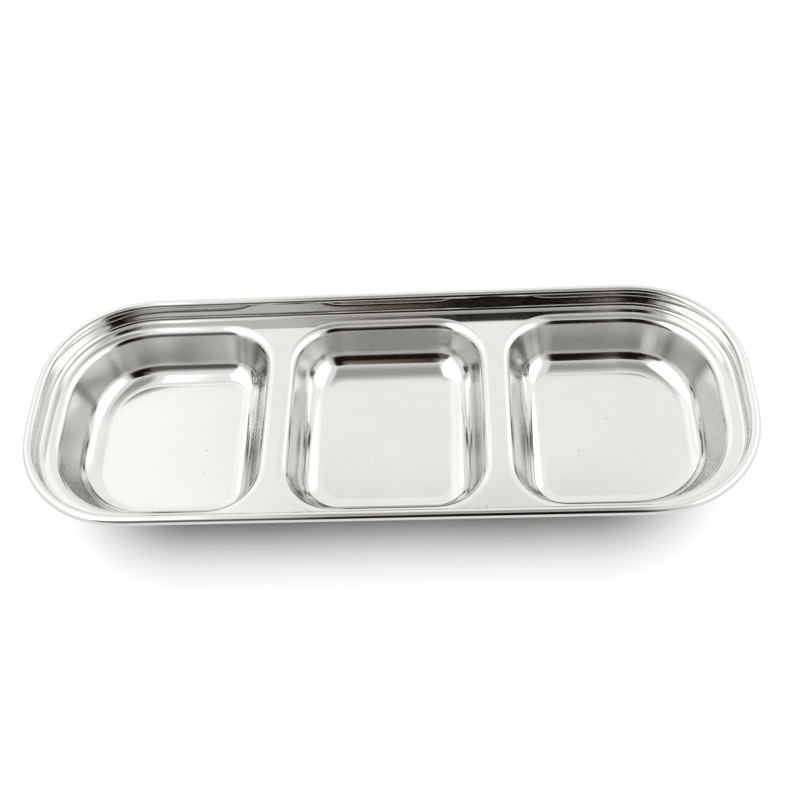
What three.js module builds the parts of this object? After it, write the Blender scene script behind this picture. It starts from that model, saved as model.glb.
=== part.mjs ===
// Divided sauce dish: a long pressed steel dish with a rolled rim, a sunken deck and three
// drawn wells side by side. Millimetres, +Z up. The origin is on the table under the dish's middle.
//
// The dish is one sheet. Its section is followed inward from the free edge of the rolled rim to
// the floor of a well, and is cut into sub-parts where one form of the sheet runs into the next.
import * as THREE from 'three';

// Outline of the dish, measured to the outside of the rolled rim
const dishLength = 250;
const dishWidth = 96;
const dishCornerRadius = 38.8;

// Sheet and rolled rim
const sheetThickness = 0.6;
const rimDiameter = 3.4;
const rimLipGap = 0.3;         // free edge of the roll to the wall that it curls back to

// Side wall and deck
const deckDepth = 8.2;         // top of the rim to the deck
const wallFootRadius = 1.9;    // inside bend from the wall to the deck
const ledgeWidth = 3.3;        // inside of the wall to the mouth of a well

// Wells
const middleWellLength = 73.5; // along the dish, at the mouth
const dividerWidth = 3.8;      // flat deck between two mouths
const wellDepth = 17.1;        // deck to the floor of a well
const wellCornerRadius = 19.8; // plan radius at the mouth, beside a divider
const mouthRadius = 3.8;       // rounded edge from the deck into a well
const endWallSlope = 68.3;     // degrees from level, in the two end wells
const endFloorRadius = 8.5;    // inside bend from wall to floor in the two end wells
const middleWallSlope = 74;    // degrees from level, in the middle well
const middleFloorRadius = 11;  // inside bend from wall to floor in the middle well
const leastCornerRadius = 1.5; // plan corners never get tighter than this
const leastFlat = 0.4;         // straight sheet left between two bends

// Facets
const dishCornerSteps = 10;
const wellCornerSteps = 8;
const rollQuarterSteps = 4;
const footSteps = 4;
const mouthSteps = 4;
const floorSteps = 6;

// Finishes of the steel
const rimFinish = { color: 0xdadad8, roughness: 0.1 };
const wallFinish = { color: 0xd2d2cf, roughness: 0.12 };
const deckFinish = { color: 0xdcdcd8, roughness: 0.16 };
const wellFinish = { color: 0xd8d8d4, roughness: 0.2 };

// Heights and insets that follow from the sizes above
const rimRadius = rimDiameter / 2;
const rimTop = deckDepth + wellDepth + sheetThickness;
const mouthInset = rimDiameter + ledgeWidth;
const level = 0;
const upright = Math.PI / 2;

// Section of the sheet. A point of its upper side has an inset from the outline, a height z and
// a slope: 0 is level, a quarter turn is a wall that goes straight down on the way inward.
const normalOf = (slope) => ({ inset: Math.sin(slope), z: Math.cos(slope) });

// Follows a bend from a point to a new slope. A positive radius bulges upward, a negative one dips.
function bend(from, radius, toSlope, steps) {
  const start = normalOf(from.slope);
  return Array.from({ length: steps }, (_, i) => {
    const slope = from.slope + (toSlope - from.slope) * (i + 1) / steps;
    const normal = normalOf(slope);
    return {
      inset: from.inset + radius * (normal.inset - start.inset),
      z: from.z + radius * (normal.z - start.z),
      slope,
    };
  });
}

// Follows the sheet straight on for a length.
function run(from, length) {
  return {
    inset: from.inset + length * Math.cos(from.slope),
    z: from.z - length * Math.sin(from.slope),
    slope: from.slope,
  };
}

// The lower side of the sheet, one thickness below a point of the upper side
function below({ inset, z, slope }) {
  const normal = normalOf(slope);
  return { inset: inset - sheetThickness * normal.inset, z: z - sheetThickness * normal.z, slope };
}

// Plan outlines are boxes with round corners: one radius at the low-x end, one at the high-x end.
function outlineRing({ lowX, highX, halfWidth, lowRadius, highRadius, steps }, inset) {
  const room = Math.min(halfWidth - inset, (highX - lowX) / 2 - inset) - leastCornerRadius / 2;
  const fit = (radius) => Math.min(Math.max(radius - inset, leastCornerRadius), room);
  const x = [highX - inset, lowX + inset];
  const radii = [fit(highRadius), fit(lowRadius)];
  const y = halfWidth - inset;
  const corners = [[0, 1], [1, 1], [1, -1], [0, -1]];
  return corners.flatMap(([end, side], quarter) => {
    const radius = radii[end];
    const centreX = x[end] + (end === 0 ? -radius : radius);
    const centreY = side * (y - radius);
    return Array.from({ length: steps + 1 }, (_, i) => {
      const turn = (quarter + i / steps) * Math.PI / 2;
      return new THREE.Vector2(centreX + radius * Math.cos(turn), centreY + radius * Math.sin(turn));
    });
  });
}

// Skins a row of section points round an outline. A closed section makes a hoop; an open one is
// shut by a flat cap on its first and its last ring.
function sweep(outline, section, closed) {
  const rings = section.map(({ inset, z }) => ({ points: outlineRing(outline, inset), z }));
  const count = rings[0].points.length;
  const positions = rings.flatMap(({ points, z }) => points.flatMap((p) => [p.x, p.y, z]));
  const triangles = [];
  const last = closed ? rings.length : rings.length - 1;
  for (let ring = 0; ring < last; ring += 1) {
    const here = ring * count;
    const next = ((ring + 1) % rings.length) * count;
    for (let i = 0; i < count; i += 1) {
      const j = (i + 1) % count;
      triangles.push(here + i, here + j, next + j, here + i, next + j, next + i);
    }
  }
  if (!closed) {
    const cap = (ring, flip) => {
      const faces = THREE.ShapeUtils.triangulateShape(rings[ring].points, []);
      faces.forEach(([a, b, c]) => {
        const face = flip ? [c, b, a] : [a, b, c];
        triangles.push(...face.map((corner) => corner + ring * count));
      });
    };
    cap(0, true);
    cap(rings.length - 1, false);
  }
  const geometry = new THREE.BufferGeometry();
  geometry.setAttribute('position', new THREE.Float32BufferAttribute(positions, 3));
  geometry.setIndex(triangles);
  return geometry;
}

// A band of sheet that goes all the way round: its upper side, then its lower side on the way back
const hoopSection = (upper) => [...upper, ...upper.map(below).reverse()];

// A drawn pan: its lower side from the floor up to the mouth, then its upper side down to the floor
const panSection = (upper) => [...upper.map(below).reverse(), ...upper];

const dishOutline = {
  lowX: -dishLength / 2,
  highX: dishLength / 2,
  halfWidth: dishWidth / 2,
  lowRadius: dishCornerRadius,
  highRadius: dishCornerRadius,
  steps: dishCornerSteps,
};

// Rolled rim: from the wall over its top, down its outside and under it to the free edge, reversed
const wallTop = { inset: rimDiameter, z: rimTop - rimRadius, slope: upright };
const lipReach = (rimRadius - sheetThickness - rimLipGap) / rimRadius;
const lipSlope = -Math.PI - Math.asin(THREE.MathUtils.clamp(lipReach, 0, 1));
const rollSection = [level, -upright, -Math.PI, lipSlope].reduce(
  (points, slope) => [...points, ...bend(points.at(-1), rimRadius, slope, rollQuarterSteps)],
  [wallTop],
).reverse();

// Side wall: straight down from the rim, then bent level to meet the deck
const wallHeight = deckDepth - rimRadius;
const wallFoot = Math.min(wallFootRadius, wallHeight - leastFlat, ledgeWidth - leastFlat);
const wallBottom = run(wallTop, wallHeight - wallFoot);
const footSection = bend(wallBottom, -wallFoot, level, footSteps);
const wallSection = [wallTop, wallBottom, ...footSection];
const deckEdge = footSection.at(-1);

// Section of a well from its mouth, inset from its own outline
const mouth = { inset: 0, z: rimTop - deckDepth, slope: level };
function wellSection(wallSlope, floorRadius) {
  const slope = THREE.MathUtils.degToRad(wallSlope);
  const mouthSection = [mouth, ...bend(mouth, mouthRadius, slope, mouthSteps)];
  const mouthEnd = mouthSection.at(-1);
  const dropLeft = wellDepth - (mouth.z - mouthEnd.z);
  const bendDrop = 1 - Math.cos(slope);
  const floorBend = Math.min(floorRadius, (dropLeft - leastFlat) / bendDrop);
  const wallEnd = run(mouthEnd, (dropLeft - floorBend * bendDrop) / Math.sin(slope));
  return [...mouthSection, wallEnd, ...bend(wallEnd, -floorBend, level, floorSteps)];
}
const endSection = wellSection(endWallSlope, endFloorRadius);
const middleSection = wellSection(middleWallSlope, middleFloorRadius);

// Plan of the three wells: the outer ends follow the dish's own round ends
const wellHalfWidth = dishWidth / 2 - mouthInset;
const middleEndX = middleWellLength / 2;
const dividerX = middleEndX + dividerWidth;
const dishEndX = dishLength / 2 - mouthInset;
const endRadius = dishCornerRadius - mouthInset;
const wellPlan = (lowX, highX, lowRadius, highRadius) => (
  { lowX, highX, halfWidth: wellHalfWidth, lowRadius, highRadius, steps: wellCornerSteps }
);
const leftPlan = wellPlan(-dishEndX, -dividerX, endRadius, wellCornerRadius);
const middlePlan = wellPlan(-middleEndX, middleEndX, wellCornerRadius, wellCornerRadius);
const rightPlan = wellPlan(dividerX, dishEndX, wellCornerRadius, endRadius);
const wells = [
  { name: 'left_well', plan: leftPlan, section: endSection },
  { name: 'middle_well', plan: middlePlan, section: middleSection },
  { name: 'right_well', plan: rightPlan, section: endSection },
];

// Deck: the level sheet inside the wall, with the mouths of the three wells cut out
function deckGeometry() {
  const shape = new THREE.Shape(outlineRing(dishOutline, deckEdge.inset));
  shape.holes = wells.map(({ plan }) => new THREE.Path(outlineRing(plan, mouth.inset)));
  const geometry = new THREE.ExtrudeGeometry(shape, { depth: sheetThickness, bevelEnabled: false });
  return geometry.translate(0, 0, mouth.z - sheetThickness);
}

function addPart(group, name, geometry, finish) {
  const mesh = new THREE.Mesh(geometry, new THREE.MeshStandardMaterial({ ...finish, metalness: 1 }));
  mesh.name = name;
  group.add(mesh);
}

const dish = new THREE.Group();
dish.name = 'divided_sauce_dish';
addPart(dish, 'rolled_rim', sweep(dishOutline, hoopSection(rollSection), true), rimFinish);
addPart(dish, 'side_wall', sweep(dishOutline, hoopSection(wallSection), true), wallFinish);
addPart(dish, 'divider_deck', deckGeometry(), deckFinish);
wells.forEach(({ name, section, plan }) => {
  addPart(dish, name, sweep(plan, panSection(section), false), wellFinish);
});

export default dish;
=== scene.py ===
import math

import bpy
from mathutils import Matrix, Vector
from mathutils.geometry import tessellate_polygon


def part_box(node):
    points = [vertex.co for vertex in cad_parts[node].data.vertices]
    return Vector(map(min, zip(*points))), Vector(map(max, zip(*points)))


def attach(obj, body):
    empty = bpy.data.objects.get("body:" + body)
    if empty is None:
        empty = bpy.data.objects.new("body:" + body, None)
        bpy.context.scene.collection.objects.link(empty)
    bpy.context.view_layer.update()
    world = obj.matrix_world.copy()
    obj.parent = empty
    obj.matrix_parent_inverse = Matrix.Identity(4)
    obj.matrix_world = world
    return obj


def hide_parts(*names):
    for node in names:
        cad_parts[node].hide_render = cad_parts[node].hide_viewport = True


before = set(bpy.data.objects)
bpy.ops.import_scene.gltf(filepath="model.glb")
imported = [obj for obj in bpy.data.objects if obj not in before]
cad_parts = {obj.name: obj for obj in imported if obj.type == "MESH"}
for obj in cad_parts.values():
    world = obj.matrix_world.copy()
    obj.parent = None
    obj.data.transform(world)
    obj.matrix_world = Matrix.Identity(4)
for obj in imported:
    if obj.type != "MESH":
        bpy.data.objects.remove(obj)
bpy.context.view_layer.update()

MM = 0.001
LEVEL = 0.0
UPRIGHT = math.pi / 2

# Sizes that the frame gives
rim_low, rim_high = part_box("rolled_rim")
deck_low, deck_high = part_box("divider_deck")
middle_low, middle_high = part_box("middle_well")
left_low, left_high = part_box("left_well")
half_length = rim_high.x
half_width = rim_high.y
rim_top = rim_high.z
rim_radius = (rim_high.z - rim_low.z) / 2
sheet = deck_high.z - deck_low.z
deck_z = deck_high.z
floor_z = middle_low.z + sheet
deck_inset = half_length - deck_high.x
wall_inset = 2 * rim_radius
wall_foot = deck_inset - wall_inset
mouth_inset = half_width - middle_high.y

# Radii and slopes of the pressing that no box shows, the same as the solids'
dish_corner = 38.8 * MM
well_corner = 19.8 * MM
mouth_radius = 3.8 * MM
lip_gap = 0.3 * MM
end_slope = math.radians(68.3)
end_floor_radius = 8.5 * MM
middle_slope = math.radians(74)
middle_floor_radius = 11 * MM

# Fineness of the skins
DISH_CORNER_STEPS = 48
WELL_CORNER_STEPS = 40
ROLL_QUARTER_STEPS = 14
FOOT_STEPS = 12
MOUTH_STEPS = 16
WALL_STEPS = 6
FLOOR_STEPS = 28

# Share of a corner's length, at each end, over which its turn sets in
CORNER_EASE = 0.22


# Section of the sheet: points of its upper side as (inset, height, slope), followed inward
def bend(start, radius, to_slope, steps):
    inset, z, slope = start
    points = []
    for step in range(1, steps + 1):
        turned = slope + (to_slope - slope) * step / steps
        points.append((
            inset + radius * (math.sin(turned) - math.sin(slope)),
            z + radius * (math.cos(turned) - math.cos(slope)),
            turned,
        ))
    return points


def run(start, length, steps=1):
    inset, z, slope = start
    points = []
    for step in range(1, steps + 1):
        gone = length * step / steps
        points.append((inset + math.cos(slope) * gone, z - math.sin(slope) * gone, slope))
    return points


def below(point):
    inset, z, slope = point
    return inset - sheet * math.sin(slope), z - sheet * math.cos(slope), slope


def roll_section():
    points = [(wall_inset, rim_top - rim_radius, UPRIGHT)]
    lip_slope = -math.pi - math.asin((rim_radius - sheet - lip_gap) / rim_radius)
    for slope in (LEVEL, -UPRIGHT, -math.pi, lip_slope):
        points += bend(points[-1], rim_radius, slope, ROLL_QUARTER_STEPS)
    return points[::-1]


def wall_section():
    points = [(wall_inset, rim_top - rim_radius, UPRIGHT)]
    points += run(points[-1], rim_top - rim_radius - deck_z - wall_foot)
    return points + bend(points[-1], -wall_foot, LEVEL, FOOT_STEPS)


def well_section(wall_slope, floor_radius):
    points = [(0.0, deck_z, LEVEL)]
    points += bend(points[-1], mouth_radius, wall_slope, MOUTH_STEPS)
    floor_drop = floor_radius * (1 - math.cos(wall_slope))
    wall_drop = points[-1][1] - floor_z - floor_drop
    points += run(points[-1], wall_drop / math.sin(wall_slope), WALL_STEPS)
    return points + bend(points[-1], -floor_radius, LEVEL, FLOOR_STEPS)


# Corner of a plan for a radius of 1, whose turn sets in slowly at both ends, as a pressed corner's does
def eased_corner(steps):
    top_rate = UPRIGHT / (1 - CORNER_EASE)

    def turn_at(share):
        if share > 0.5:
            return UPRIGHT - turn_at(1 - share)
        if share < CORNER_EASE:
            return top_rate * share * share / (2 * CORNER_EASE)
        return top_rate * (share - CORNER_EASE / 2)

    places = [Vector((0.0, 0.0))]
    for step in range(steps):
        turn = turn_at((step + 0.5) / steps)
        places.append(places[-1] + Vector((-math.sin(turn), math.cos(turn))) / steps)
    reach = places[-1].y
    middle = places[steps // 2]
    # The diagonal point stays on the round arc
    scale = (1 - math.cos(UPRIGHT / 2)) / -middle.x
    return [
        (Vector((1 + place.x * scale, 1 + (place.y - reach) * scale)), turn_at(step / steps))
        for step, place in enumerate(places)
    ]


corners_by_steps = {steps: eased_corner(steps) for steps in (DISH_CORNER_STEPS, WELL_CORNER_STEPS)}


# Plans: boxes with round corners, one radius at the low-x end and one at the high-x end
def plan_ring(plan, inset):
    low_x, high_x, half_y, low_radius, high_radius, steps = plan
    corners = (
        (high_x - inset, high_radius - inset, -1, 1),
        (low_x + inset, low_radius - inset, 1, 1),
        (low_x + inset, low_radius - inset, 1, -1),
        (high_x - inset, high_radius - inset, -1, -1),
    )
    ring = []
    for quarter, (x, radius, along, side) in enumerate(corners):
        centre = Vector((x + along * radius, side * (half_y - inset - radius)))
        spin = Matrix.Rotation(quarter * UPRIGHT, 2)
        for place, turn in corners_by_steps[steps]:
            outward = spin @ Vector((math.cos(turn), math.sin(turn)))
            ring.append((centre + spin @ place * radius, outward))
    return ring


def well_plan(low_x, high_x, low_radius, high_radius):
    return low_x, high_x, middle_high.y, low_radius, high_radius, WELL_CORNER_STEPS


end_corner = dish_corner - mouth_inset
dish_plan = (-half_length, half_length, half_width, dish_corner, dish_corner, DISH_CORNER_STEPS)
well_plans = {
    "left_well": well_plan(left_low.x, left_high.x, end_corner, well_corner),
    "middle_well": well_plan(middle_low.x, middle_high.x, well_corner, well_corner),
    "right_well": well_plan(-left_high.x, -left_low.x, well_corner, end_corner),
}
end_section = well_section(end_slope, end_floor_radius)
well_sections = {
    "left_well": end_section,
    "middle_well": well_section(middle_slope, middle_floor_radius),
    "right_well": end_section,
}


# Meshes: rings of points carried round a plan, with the normals of the true surface
class Skin:
    def __init__(self):
        self.points = []
        self.faces = []
        self.normals = []
        self.smooth = []

    def add_ring(self, plan, section_point, side):
        inset, z, slope = section_point
        first = len(self.points)
        level = -side * math.sin(slope)
        normals = []
        for place, outward in plan_ring(plan, inset):
            self.points.append((place.x, place.y, z))
            normals.append((outward.x * level, outward.y * level, side * math.cos(slope)))
        return range(first, len(self.points)), normals

    def join(self, ring_a, ring_b):
        (a, normals_a), (b, normals_b) = ring_a, ring_b
        count = len(a)
        for i in range(count):
            j = (i + 1) % count
            self.faces.append((a[i], a[j], b[j], b[i]))
            self.normals += [normals_a[i], normals_a[j], normals_b[j], normals_b[i]]
            self.smooth.append(True)

    def edge(self, ring_a, ring_b):
        a, b = ring_a[0], ring_b[0]
        count = len(a)
        for i in range(count):
            j = (i + 1) % count
            self.add_flat((a[i], a[j], b[j], b[i]))

    def add_flat(self, corners):
        places = [Vector(self.points[k]) for k in corners]
        normal = Vector((0, 0, 0))
        for p, q in zip(places, places[1:] + places[:1]):
            normal += p.cross(q)
        self.faces.append(tuple(corners))
        self.normals += [tuple(normal.normalized())] * len(corners)
        self.smooth.append(False)

    def build(self, name):
        mesh = bpy.data.meshes.new(name)
        mesh.from_pydata(self.points, [], self.faces)
        mesh.polygons.foreach_set("use_smooth", self.smooth)
        mesh.normals_split_custom_set(self.normals)
        piece = bpy.data.objects.new(name, mesh)
        bpy.context.collection.objects.link(piece)
        return piece


def sheet_sides(skin, plan, section):
    upper = [skin.add_ring(plan, point, 1) for point in section]
    lower = [skin.add_ring(plan, below(point), -1) for point in section]
    for a, b in zip(upper, upper[1:]):
        skin.join(a, b)
    for a, b in zip(lower, lower[1:]):
        skin.join(b, a)
    skin.edge(lower[0], upper[0])
    return upper, lower


def hoop(name, section):
    skin = Skin()
    upper, lower = sheet_sides(skin, dish_plan, section)
    skin.edge(upper[-1], lower[-1])
    return skin.build(name)


def pan(name, plan, section):
    skin = Skin()
    upper, lower = sheet_sides(skin, plan, section)
    skin.add_flat(list(upper[-1][0]))
    skin.add_flat(list(lower[-1][0])[::-1])
    return skin.build(name)


def deck(name):
    skin = Skin()
    loops = [(dish_plan, deck_inset)] + [(plan, 0.0) for plan in well_plans.values()]
    upper, lower = [], []
    for plan, inset in loops:
        upper.append(skin.add_ring(plan, (inset, deck_z, LEVEL), 1))
        lower.append(skin.add_ring(plan, (inset, deck_z - sheet, LEVEL), -1))
    outlines = [[Vector(skin.points[k]) for k in ring] for ring, _ in upper]
    triangles = tessellate_polygon(outlines)
    for ring_set, flip in ((upper, False), (lower, True)):
        index = [k for ring, _ in ring_set for k in ring]
        for triangle in triangles:
            corners = [index[k] for k in triangle]
            a, b, c = (Vector(skin.points[k]) for k in corners)
            faces_up = (b - a).cross(c - a).z > 0
            skin.add_flat(corners if faces_up != flip else corners[::-1])
    skin.edge(lower[0], upper[0])
    for top, bottom in zip(upper[1:], lower[1:]):
        skin.edge(top, bottom)
    return skin.build(name)


# Shader nodes: an input is a value, or an output that is linked to it
def feed(tree, socket, value):
    if isinstance(value, bpy.types.NodeSocket):
        tree.links.new(value, socket)
    else:
        socket.default_value = value


def add_node(tree, kind, settings=None, **inputs):
    node = tree.nodes.new(kind)
    for name, value in (settings or {}).items():
        setattr(node, name, value)
    for name, value in inputs.items():
        feed(tree, node.inputs[name.replace("_", " ")], value)
    return node


def combine(tree, kind, operation, values):
    node = add_node(tree, kind, {"operation": operation})
    for socket, value in zip(node.inputs, values):
        feed(tree, socket, value)
    return node.outputs


def number(tree, operation, *values):
    return combine(tree, "ShaderNodeMath", operation, values)["Value"]


def vector(tree, operation, *values):
    return combine(tree, "ShaderNodeVectorMath", operation, values)["Vector"]


def spread(tree, value, low, high, from_low, from_high, **settings):
    inputs = {"From_Min": from_low, "From_Max": from_high, "To_Min": low, "To_Max": high}
    return add_node(tree, "ShaderNodeMapRange", settings, Value=value, **inputs).outputs["Result"]


def mix_shaders(tree, share, first, second):
    mix = add_node(tree, "ShaderNodeMixShader", Fac=share)
    tree.links.new(first, mix.inputs[1])
    tree.links.new(second, mix.inputs[2])
    return mix.outputs["Shader"]


# Steel: colour, gloss and relief from noise, in metres of the part's own frame, with painted shade that
# darkens the walls against the floors
NOISE_LOW, NOISE_HIGH = 0.3, 0.7
SMEARS_PER_METRE, SMEAR_DETAIL = 26.0, 4.0
SMEAR_BLUR = (0.8, 1.2)
WAVES_PER_METRE, WAVE_DETAIL = 16.0, 1.0
GRAIN_DETAIL = 3.0
SPECKS_PER_METRE = 90
SPECK_RADIUS = 0.22 * MM
SPECK_SHARE = 0.09
SPECK_TONE = 0.25
STEEL_DARK = (0.70, 0.698, 0.68, 1)
STEEL_LIGHT = (0.74, 0.738, 0.72, 1)

# Upward part of the normal: at most that of a wall, at least that of a floor, and level
WALL_UP, FLOOR_UP, LEVEL_UP = 0.45, 0.62, 0.99


def noise(tree, place, scale, detail):
    return add_node(tree, "ShaderNodeTexNoise", Vector=place, Scale=scale, Detail=detail).outputs["Fac"]


def noise_spread(tree, value, low, high):
    return spread(tree, value, low, high, NOISE_LOW, NOISE_HIGH)


def slope_spread(tree, upward, on_walls, on_floors):
    return spread(tree, upward, on_walls, on_floors, WALL_UP, FLOOR_UP)


def relief(tree, height, depth, **normal):
    bump = add_node(tree, "ShaderNodeBump", Height=height, Distance=depth, Strength=1.0, **normal)
    return bump.outputs["Normal"]


def smear_colour(tree, smear):
    ramp = add_node(tree, "ShaderNodeValToRGB", Fac=smear)
    dark, light = ramp.color_ramp.elements
    dark.position, light.position = NOISE_LOW, NOISE_HIGH
    dark.color, light.color = STEEL_DARK, STEEL_LIGHT
    return ramp.outputs["Color"]


def specks(tree, place, upward):
    flat = {"voronoi_dimensions": "2D"}
    cells = add_node(tree, "ShaderNodeTexVoronoi", flat, Vector=place, Scale=SPECKS_PER_METRE).outputs
    chance = add_node(tree, "ShaderNodeSeparateColor", Color=cells["Color"]).outputs["Red"]
    near = number(tree, "LESS_THAN", cells["Distance"], SPECK_RADIUS * SPECKS_PER_METRE)
    here = number(tree, "MULTIPLY", near, number(tree, "LESS_THAN", chance, SPECK_SHARE))
    here = number(tree, "MULTIPLY", here, number(tree, "GREATER_THAN", upward, LEVEL_UP))
    return spread(tree, here, 1.0, SPECK_TONE, 0.0, 1.0)


def steel(name, wall_blur, floor_blur, wave_depth, grains_per_metre, grain_depth, grain_tone, painted_wall_shade):
    material = bpy.data.materials.new(name)
    material.use_nodes = True
    tree = material.node_tree
    shader = tree.nodes["Principled BSDF"].inputs
    place = add_node(tree, "ShaderNodeTexCoord").outputs["Object"]
    facing = add_node(tree, "ShaderNodeNewGeometry").outputs["Normal"]
    upward = add_node(tree, "ShaderNodeSeparateXYZ", Vector=facing).outputs["Z"]
    smear = noise(tree, place, SMEARS_PER_METRE, SMEAR_DETAIL)
    waves = noise(tree, place, WAVES_PER_METRE, WAVE_DETAIL)
    along = add_node(tree, "ShaderNodeMapping", Vector=place, Scale=grains_per_metre).outputs["Vector"]
    grain = noise(tree, along, 1.0, GRAIN_DETAIL)
    normal = relief(tree, grain, grain_depth, Normal=relief(tree, waves, wave_depth))
    # Painted shade: the colour is darker where the surface faces sideways, so walls come out darker than
    # floors
    level = slope_spread(tree, upward, painted_wall_shade, 1.0)
    level = number(tree, "MULTIPLY", level, noise_spread(tree, grain, 1 - grain_tone, 1 + grain_tone))
    level = number(tree, "MULTIPLY", level, specks(tree, place, upward))
    colour = add_node(tree, "ShaderNodeVectorMath", {"operation": "SCALE"}, Scale=level)
    tree.links.new(smear_colour(tree, smear), colour.inputs[0])
    blur = slope_spread(tree, upward, wall_blur, floor_blur)
    blur = number(tree, "MULTIPLY", blur, noise_spread(tree, smear, *SMEAR_BLUR))
    tree.links.new(colour.outputs["Vector"], shader["Base Color"])
    tree.links.new(blur, shader["Roughness"])
    tree.links.new(normal, shader["Normal"])
    shader["Metallic"].default_value = 1
    return material


# The wall shade values are painted shade that darkens the walls of each finish
polished = steel(
    "polished_steel", wall_blur=0.04, floor_blur=0.075, wave_depth=0.1 * MM,
    grains_per_metre=(400, 2500, 2500), grain_depth=0.0004 * MM, grain_tone=0.01, painted_wall_shade=0.95)
satin = steel(
    "satin_steel", wall_blur=0.2, floor_blur=0.09, wave_depth=0.04 * MM,
    grains_per_metre=(2600, 500, 2600), grain_depth=0.0003 * MM, grain_tone=0.02, painted_wall_shade=0.82)


# Pieces of the dish
def settle(piece, node, material):
    piece.data.materials.append(material)
    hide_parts(node)
    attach(piece, "root")


settle(hoop("rim_skin", roll_section()), "rolled_rim", polished)
settle(hoop("wall_skin", wall_section()), "side_wall", polished)
settle(deck("deck_skin"), "divider_deck", polished)
for node, plan in well_plans.items():
    settle(pan(node + "_skin", plan, well_sections[node]), node, satin)


# Rays that show the white of the background: the camera's and those that metal and glass send on
def shown_rays(tree):
    path = add_node(tree, "ShaderNodeLightPath").outputs
    shown = number(tree, "MAXIMUM", path["Is Camera Ray"], path["Is Glossy Ray"])
    return number(tree, "MAXIMUM", shown, path["Is Transmission Ray"])


# Floor: paper with a painted glow of plain white, mixed in by the distance outside the dish's plan, that
# paints light over the outer part of the dish's shadow
FLOOR_SIZE = 6.0
PAPER_COLOUR = (0.98, 0.98, 0.98, 1)
PAPER_ROUGHNESS = 0.9
PLAIN_WHITE = (1, 1, 1, 1)
CLEAR_FROM = -14.2 * MM
CLEAR_TO = 12.2 * MM
CLEAR_SHORT = 20.2 * MM


def paper():
    material = bpy.data.materials.new("floor_paper")
    material.use_nodes = True
    tree = material.node_tree
    shader = tree.nodes["Principled BSDF"]
    shader.inputs["Base Color"].default_value = PAPER_COLOUR
    shader.inputs["Roughness"].default_value = PAPER_ROUGHNESS
    shader.inputs["Specular IOR Level"].default_value = 0
    spine = (half_length - dish_corner - CLEAR_SHORT, half_width - dish_corner, 1.0)
    place = add_node(tree, "ShaderNodeTexCoord").outputs["Object"]
    place = vector(tree, "SUBTRACT", vector(tree, "ABSOLUTE", place), spine)
    place = vector(tree, "MAXIMUM", place, (0.0, 0.0, 0.0))
    away = combine(tree, "ShaderNodeVectorMath", "LENGTH", (place,))["Value"]
    # Painted light: the white glow rises with the distance from the dish and lightens the outer part of
    # its shadow
    share = spread(tree, away, 0.0, 1.0, dish_corner + CLEAR_FROM, dish_corner + CLEAR_TO)
    share = number(tree, "MULTIPLY", share, shown_rays(tree))
    white = add_node(tree, "ShaderNodeEmission", Color=PLAIN_WHITE, Strength=1.0).outputs["Emission"]
    surface = mix_shaders(tree, share, shader.outputs["BSDF"], white)
    tree.links.new(surface, tree.nodes["Material Output"].inputs["Surface"])
    return material


bpy.ops.mesh.primitive_plane_add(size=FLOOR_SIZE, location=(0, 0, 0))
floor = bpy.context.object
floor.name = "floor"
floor.data.materials.append(paper())

# Room: white to look at and in reflections, a faint fill as light
WORLD_FILL = 0.2
world = bpy.data.worlds.new("studio")
bpy.context.scene.world = world
world.use_nodes = True
room = world.node_tree
background = room.nodes["Background"].inputs
background["Color"].default_value = PLAIN_WHITE
strength = spread(room, shown_rays(room), WORLD_FILL, 1.0, 0.0, 1.0)
room.links.new(strength, background["Strength"])

# Overhead light, broad and tilted toward the front
LAMP_POWER = 2.6
LAMP_SPREAD = math.radians(90)
LAMP_TILT = math.radians(20)
lamp = bpy.data.objects.new("lamp", bpy.data.lights.new("lamp", "SUN"))
lamp.data.energy = LAMP_POWER
lamp.data.angle = LAMP_SPREAD
lamp.rotation_euler = (-LAMP_TILT, 0, 0)
lamp.visible_glossy = False
bpy.context.collection.objects.link(lamp)

# Cards that only the steel sees, with soft edges: name, place, turn, size, fade, colour, power
WHITE = (1.0, 1.0, 1.0)
GREY = (1.0, 0.99, 0.91)
BROWN = (1.0, 0.72, 0.52)
LEVEL_DOWN = (0, 0, 0)
FACING_Y = (UPRIGHT, 0, 0)
FACING_X = (UPRIGHT, 0, UPRIGHT)
CARDS = (
    ("card_back", (0.0, 1.6, 1.3), FACING_Y, (4.4, 3.4), (1.2, 0.6), WHITE, 1.12),
    ("card_back_left", (-1.0, 1.5, 1.6), FACING_Y, (1.3, 3.0), (0.5, 0.6), WHITE, 1.3),
    ("card_left", (-1.0, -0.275, 2.21), FACING_X, (2.95, 3.5), (0.75, 0.2), WHITE, 2.0),
    ("card_right", (1.0, 0.0, 0.96), FACING_X, (2.8, 1.7), (1.1, 0.5), WHITE, 2.0),
    ("card_ceiling", (0.03, -0.1, 1.23), LEVEL_DOWN, (0.67, 2.0), (0.15, 0.9), GREY, 0.42),
    ("card_front", (-0.047, -0.75, -0.13), FACING_Y, (1.81, 2.31), (1.12, 0.38), GREY, 0.01),
    ("card_low", (-0.16, -0.346, 0.19), FACING_Y, (0.4, 0.28), (0.1, 0.08), GREY, 0.12),
    ("card_halo", (0.046, -0.345, 0.2), FACING_Y, (0.358, 0.64), (0.1, 0.05), BROWN, 0.16),
    ("card_body", (0.033, -0.34, 0.11), FACING_Y, (0.265, 0.4), (0.05, 0.06), BROWN, 0.01),
    ("card_head", (0.068, -0.338, 0.36), FACING_Y, (0.21, 0.31), (0.06, 0.03), BROWN, 0.01),
)


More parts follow.
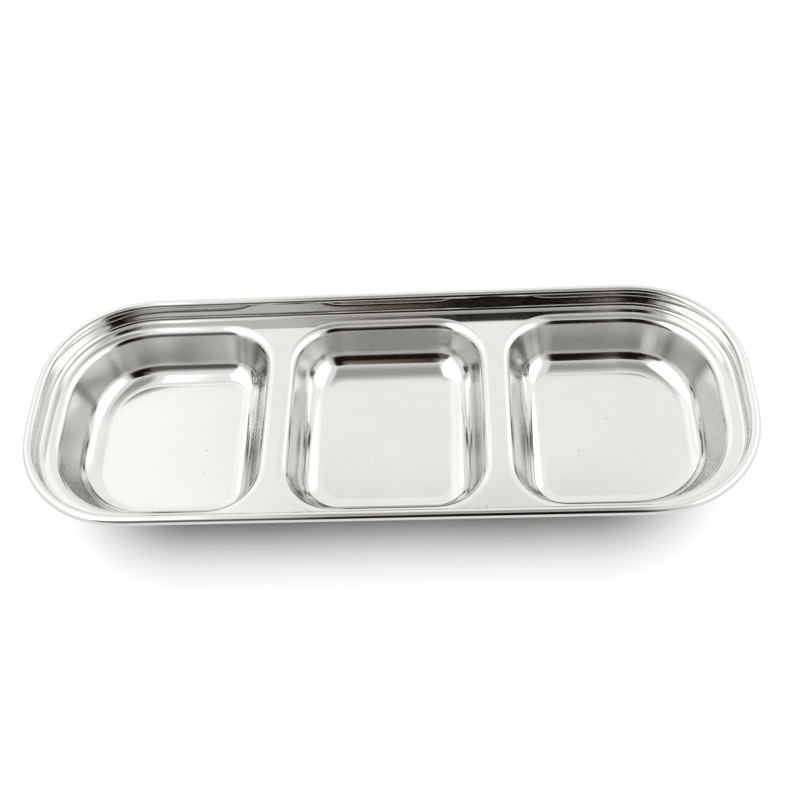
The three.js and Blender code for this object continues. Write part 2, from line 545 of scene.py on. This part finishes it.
def card_glow(name, halves, fade, colour, power):
    material = bpy.data.materials.new(name)
    material.use_nodes = True
    tree = material.node_tree
    tree.nodes.clear()
    place = add_node(tree, "ShaderNodeTexCoord").outputs["Object"]
    spot = add_node(tree, "ShaderNodeSeparateXYZ", Vector=place).outputs
    masks = []
    for axis, half, soft in zip("XY", halves, fade):
        reach = number(tree, "ABSOLUTE", spot[axis])
        masks.append(spread(tree, reach, 1.0, 0.0, half - soft, half, interpolation_type="SMOOTHSTEP"))
    glow = add_node(tree, "ShaderNodeEmission", Color=(*colour, 1), Strength=power).outputs["Emission"]
    clear = add_node(tree, "ShaderNodeBsdfTransparent").outputs["BSDF"]
    surface = mix_shaders(tree, number(tree, "MULTIPLY", *masks), clear, glow)
    add_node(tree, "ShaderNodeOutputMaterial", Surface=surface)
    return material


for name, place, turn, size, fade, colour, power in CARDS:
    x, y = size[0] / 2, size[1] / 2
    mesh = bpy.data.meshes.new(name)
    mesh.from_pydata([(-x, -y, 0), (x, -y, 0), (x, y, 0), (-x, y, 0)], [], [(0, 1, 2, 3)])
    mesh.materials.append(card_glow(name, (x, y), fade, colour, power))
    card = bpy.data.objects.new(name, mesh)
    bpy.context.collection.objects.link(card)
    card.location = place
    card.rotation_euler = turn
    card.visible_camera = False
    card.visible_diffuse = False
    card.visible_shadow = False

# Camera: the photograph's view of the middle of the rim's top
VIEW_ELEVATION = math.radians(53.21)
VIEW_AZIMUTH = math.radians(6.52)
VIEW_ROLL = math.radians(-6.87)
VIEW_DISTANCE = 390.45 * MM
FOCAL_PIXELS = 1138.45
CENTRE_X, CENTRE_Y = 384.3, 395.85
FRAME_PIXELS = 800
SENSOR_MM = 36
CLIP_NEAR, CLIP_FAR = 0.01, 50

lens = bpy.data.cameras.new("camera")
lens.sensor_width = SENSOR_MM
lens.lens = FOCAL_PIXELS / FRAME_PIXELS * SENSOR_MM
lens.shift_x = (FRAME_PIXELS / 2 - CENTRE_X) / FRAME_PIXELS
lens.shift_y = (CENTRE_Y - FRAME_PIXELS / 2) / FRAME_PIXELS
lens.clip_start = CLIP_NEAR
lens.clip_end = CLIP_FAR
camera = bpy.data.objects.new("camera", lens)
bpy.context.collection.objects.link(camera)
level = math.cos(VIEW_ELEVATION)
back = Vector((
    math.sin(VIEW_AZIMUTH) * level,
    -math.cos(VIEW_AZIMUTH) * level,
    math.sin(VIEW_ELEVATION),
))
eye = Vector((0, 0, rim_top)) + back * VIEW_DISTANCE
aim = (-back).to_track_quat("-Z", "Y").to_matrix() @ Matrix.Rotation(VIEW_ROLL, 3, "Z")
camera.matrix_world = Matrix.Translation(eye) @ aim.to_4x4()
bpy.context.scene.camera = camera
bpy.context.scene.view_settings.view_transform = "Standard"
